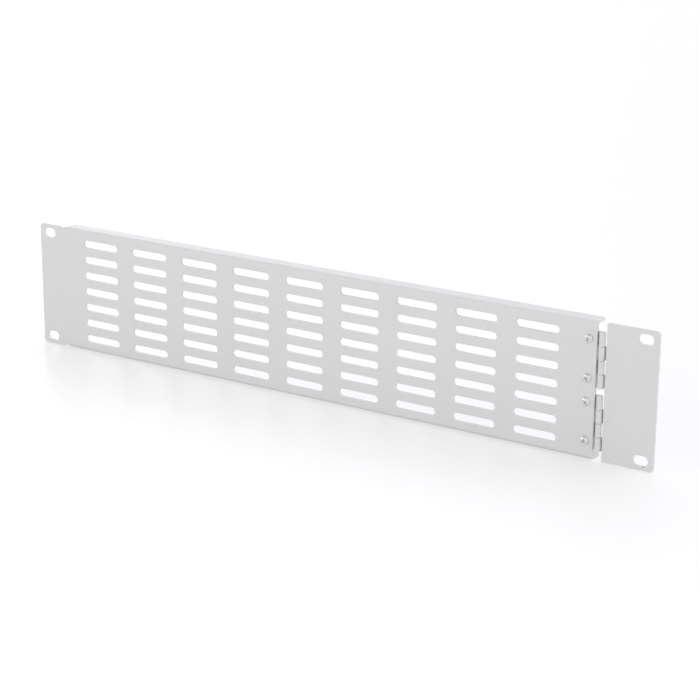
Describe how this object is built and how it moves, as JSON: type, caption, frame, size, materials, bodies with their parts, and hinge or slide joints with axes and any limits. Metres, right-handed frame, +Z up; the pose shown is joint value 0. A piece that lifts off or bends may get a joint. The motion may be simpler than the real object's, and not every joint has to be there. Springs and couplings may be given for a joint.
{
  "type": "rack blanking panel",
  "caption": "Hinged blanking panel for a server rack: a slotted, folded steel sheet that swings on small butt hinges beside a flat ear plate.",
  "frame": {"origin": "centre of the four rack slots, on the back face of the sheet, which lies on the rack's posts", "axes": "+X along the panel to the hinged end, +Y back into the rack, +Z up"},
  "size_m": [0.4826, 0.013, 0.0882],
  "materials": {
    "light_grey_paint": "light grey powder coat, fine texture, satin",
    "pin_steel": "drawn steel wire, painted over at its ends",
    "zinc_plate": "bright zinc plate"
  },
  "bodies": {
    "ear_side": {"ear_plate": "light_grey_paint", "upper_ear_leaf": "light_grey_paint", "lower_ear_leaf": "light_grey_paint", "upper_hinge_pin": "pin_steel", "lower_hinge_pin": "pin_steel"},
    "swing_panel": {"front_panel": "light_grey_paint", "upper_panel_leaf": "light_grey_paint", "lower_panel_leaf": "light_grey_paint", "upper_hinge_top_screw": "zinc_plate", "upper_hinge_top_lock_washer": "zinc_plate", "upper_hinge_top_nut": "zinc_plate", "upper_hinge_bottom_screw": "zinc_plate", "upper_hinge_bottom_lock_washer": "zinc_plate", "upper_hinge_bottom_nut": "zinc_plate", "lower_hinge_top_screw": "zinc_plate", "lower_hinge_top_lock_washer": "zinc_plate", "lower_hinge_top_nut": "zinc_plate", "lower_hinge_bottom_screw": "zinc_plate", "lower_hinge_bottom_lock_washer": "zinc_plate", "lower_hinge_bottom_nut": "zinc_plate"}
  },
  "joints": [
    {"name": "panel_hinge", "type": "hinge", "parent": "ear_side", "child": "swing_panel", "pos_m": [0.20365, -0.00095, 0], "axis": [0, 0, 1], "range_deg": [0, 140]}
  ]
}
